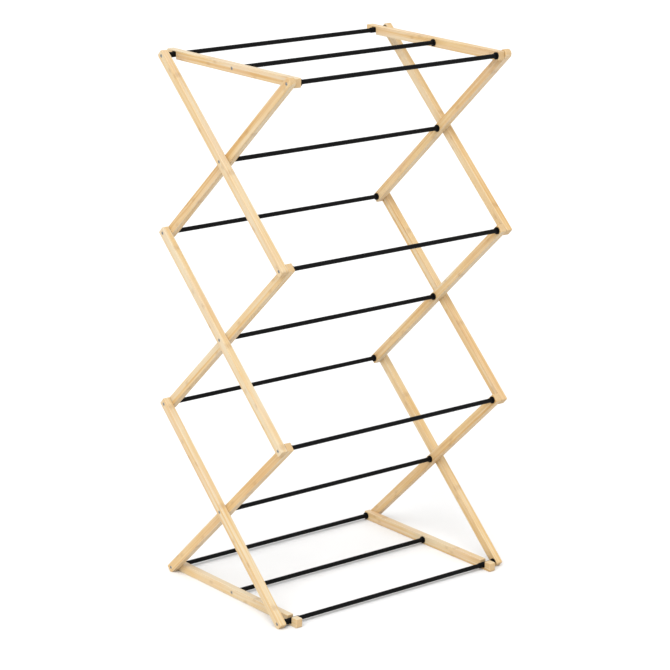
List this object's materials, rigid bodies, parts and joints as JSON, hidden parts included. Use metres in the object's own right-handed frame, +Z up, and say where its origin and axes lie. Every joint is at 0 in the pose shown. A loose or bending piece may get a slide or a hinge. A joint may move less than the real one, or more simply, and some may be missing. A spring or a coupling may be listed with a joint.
{
  "type": "clothes drying rack",
  "caption": "Folding accordion drying rack: crossed wooden slat side frames joined by black hanging rods, with hooked top and bottom slats that lock it open.",
  "frame": {"origin": "centre of the overall footprint at floor level, with the rack standing open", "axes": "+X along the rods from left side frame to right side frame, +Y to the rear (the end where the top slats hook over the rear rod), +Z up"},
  "size_m": [0.566, 0.412, 1.0551],
  "materials": {
    "wood_rising": "smooth sanded, clear satin",
    "wood_falling": "smooth sanded, clear satin",
    "wood_shelf": "smooth sanded, clear satin",
    "rod_black": "satin black powder coat",
    "plug_black": "matte black",
    "screw_steel": "satin"
  },
  "bodies": {
    "bottom_shelf": {"left_bottom_slat": "wood_shelf", "right_bottom_slat": "wood_shelf", "rod_bottom_mid": "rod_black", "plugs_bottom_mid": "plug_black", "screws_bottom_shelf": "screw_steel"},
    "lower_inner": {"left_lower_falling_slat": "wood_falling", "right_lower_falling_slat": "wood_falling", "rod_lower_front": "rod_black", "plugs_lower_front": "plug_black", "rod_lower_crossing": "rod_black", "plugs_lower_crossing": "plug_black", "rod_bottom_rear": "rod_black", "plugs_bottom_rear": "plug_black", "screws_lower_inner": "screw_steel"},
    "lower_outer": {"left_lower_rising_slat": "wood_rising", "right_lower_rising_slat": "wood_rising", "rod_bottom_front": "rod_black", "plugs_bottom_front": "plug_black", "screws_lower_outer": "screw_steel"},
    "middle_outer": {"left_middle_rising_slat": "wood_rising", "right_middle_rising_slat": "wood_rising"},
    "middle_inner": {"left_middle_falling_slat": "wood_falling", "right_middle_falling_slat": "wood_falling", "rod_upper_front": "rod_black", "plugs_upper_front": "plug_black", "rod_middle_crossing": "rod_black", "plugs_middle_crossing": "plug_black", "rod_lower_rear": "rod_black", "plugs_lower_rear": "plug_black", "screws_middle_inner": "screw_steel"},
    "upper_outer": {"left_upper_rising_slat": "wood_rising", "right_upper_rising_slat": "wood_rising", "rod_top_rear": "rod_black", "plugs_top_rear": "plug_black", "screws_upper_outer": "screw_steel"},
    "upper_inner": {"left_upper_falling_slat": "wood_falling", "right_upper_falling_slat": "wood_falling", "rod_top_front": "rod_black", "plugs_top_front": "plug_black", "rod_upper_crossing": "rod_black", "plugs_upper_crossing": "plug_black", "rod_upper_rear": "rod_black", "plugs_upper_rear": "plug_black", "screws_upper_inner": "screw_steel"},
    "top_shelf": {"left_top_slat": "wood_shelf", "right_top_slat": "wood_shelf", "rod_top_mid": "rod_black", "plugs_top_mid": "plug_black", "screws_top_shelf": "screw_steel"}
  },
  "joints": [
    {"name": "lattice_tilt", "type": "hinge", "parent": "bottom_shelf", "child": "lower_inner", "pos_m": [0, 0.1835, 0.009], "axis": [-1, 0, 0], "range_deg": [0, 90]},
    {"name": "fold", "type": "hinge", "parent": "lower_inner", "child": "lower_outer", "pos_m": [0, 0, 0.1815], "axis": [-1, 0, 0], "range_deg": [0, 81]},
    {"name": "lower_front_pivot", "type": "hinge", "parent": "lower_inner", "child": "middle_outer", "pos_m": [0, -0.1835, 0.354], "axis": [-1, 0, 0], "range_deg": [0, 81]},
    {"name": "middle_crossing_pivot", "type": "hinge", "parent": "middle_outer", "child": "middle_inner", "pos_m": [0, 0, 0.5265], "axis": [-1, 0, 0], "range_deg": [-81, 0]},
    {"name": "upper_front_pivot", "type": "hinge", "parent": "middle_inner", "child": "upper_outer", "pos_m": [0, -0.1835, 0.699], "axis": [-1, 0, 0], "range_deg": [0, 81]},
    {"name": "upper_crossing_pivot", "type": "hinge", "parent": "upper_outer", "child": "upper_inner", "pos_m": [0, 0, 0.8715], "axis": [-1, 0, 0], "range_deg": [-81, 0]},
    {"name": "top_shelf_swing", "type": "hinge", "parent": "upper_inner", "child": "top_shelf", "pos_m": [0, -0.1835, 1.044], "axis": [1, 0, 0], "range_deg": [0, 134]}
  ],
  "couplings": [
    {"joint": "lower_front_pivot", "follows": "fold", "ratio": 1},
    {"joint": "middle_crossing_pivot", "follows": "fold", "ratio": -1},
    {"joint": "upper_front_pivot", "follows": "fold", "ratio": 1},
    {"joint": "upper_crossing_pivot", "follows": "fold", "ratio": -1}
  ]
}
